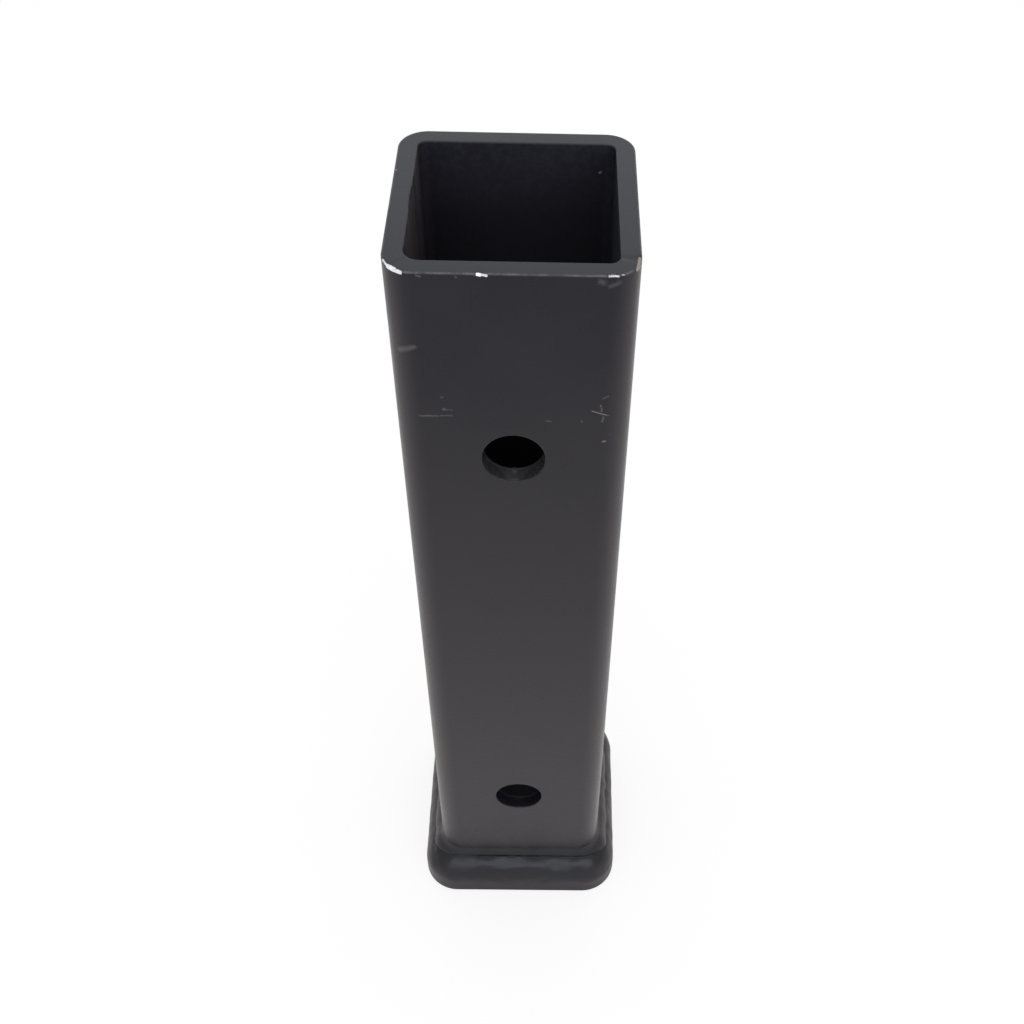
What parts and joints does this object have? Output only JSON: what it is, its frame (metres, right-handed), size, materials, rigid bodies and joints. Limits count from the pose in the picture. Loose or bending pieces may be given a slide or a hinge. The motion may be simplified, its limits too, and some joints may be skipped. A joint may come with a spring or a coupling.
{
  "type": "hitch receiver extender",
  "caption": "Square steel receiver tube with cross pin holes and a crowned collar welded round its mouth, painted satin black, standing on the mouth.",
  "frame": {"origin": "centre of the mouth face, which is the bottom of the whole part", "axes": "+Z from the mouth to the plain end, +Y along the pin holes from the pictured face to the back, +X to the right seen from the pictured face"},
  "size_m": [0.0786, 0.0786, 0.308],
  "materials": {
    "tube_paint": "satin black paint over steel, with small chips and scratches",
    "collar_paint": "satin black paint over a dressed, slightly uneven steel bar",
    "bead_paint": "satin black paint over a rippled weld bead"
  },
  "bodies": {
    "root": {"tube": "tube_paint", "collar": "collar_paint", "weld_bead": "bead_paint"}
  },
  "joints": []
}
